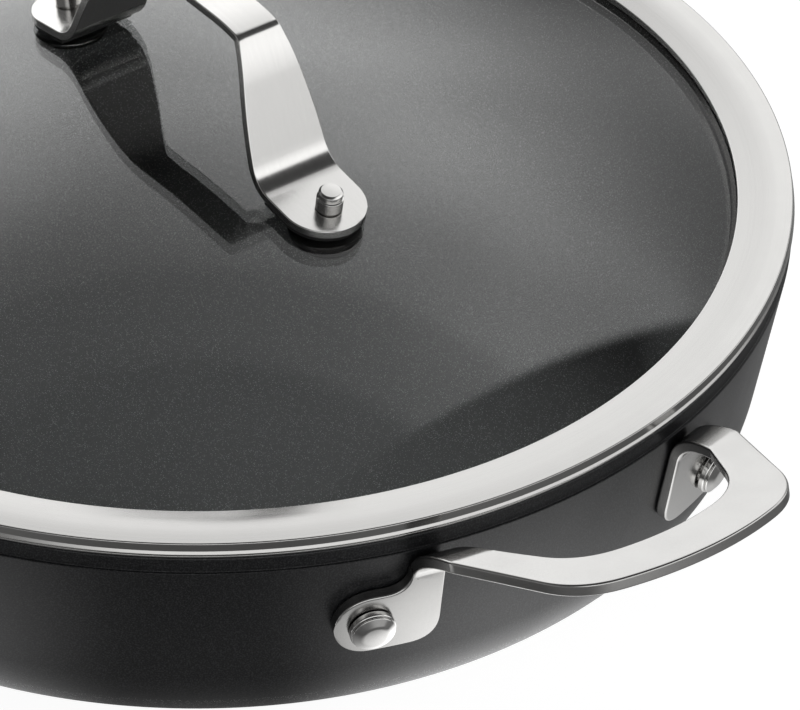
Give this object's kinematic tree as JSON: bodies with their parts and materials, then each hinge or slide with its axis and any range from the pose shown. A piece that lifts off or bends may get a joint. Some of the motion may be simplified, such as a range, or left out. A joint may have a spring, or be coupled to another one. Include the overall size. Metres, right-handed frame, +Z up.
{
  "type": "two-handled pan with lid",
  "caption": "Shallow dark aluminium pan with riveted steel loop handles and a domed glass lid that has a wide steel rim and a folded strap handle.",
  "frame": {"origin": "centre of the pan's flat underside", "axes": "+X through the right side handle and along the lid's strap, +Z up along the pan's axis"},
  "size_m": [0.3824, 0.2844, 0.1252],
  "materials": {
    "anodised": "dark hard-anodised, satin",
    "base_steel": "brushed",
    "steel": "fine satin to polished",
    "silicone": "matt black",
    "glass": "clear, tempered"
  },
  "bodies": {
    "pan": {"pan_body": "anodised", "base_disc": "base_steel", "side_handle_right": "steel", "side_handle_left": "steel", "side_rivet_right_front": "steel", "side_rivet_right_back": "steel", "side_rivet_left_back": "steel", "side_rivet_left_front": "steel"},
    "lid": {"lid_glass": "glass", "lid_rim": "steel", "lid_handle": "steel", "lid_rivet_right": "steel", "lid_rivet_left": "steel", "lid_pad_right": "silicone", "lid_pad_left": "silicone", "lid_washer_right": "silicone", "lid_washer_left": "silicone", "lid_backing_right": "steel", "lid_backing_left": "steel"}
  },
  "joints": [
    {"name": "lid_lift", "type": "slide", "parent": "pan", "child": "lid", "axis": [0, 0, 1], "range_m": [0, 0.12]}
  ]
}
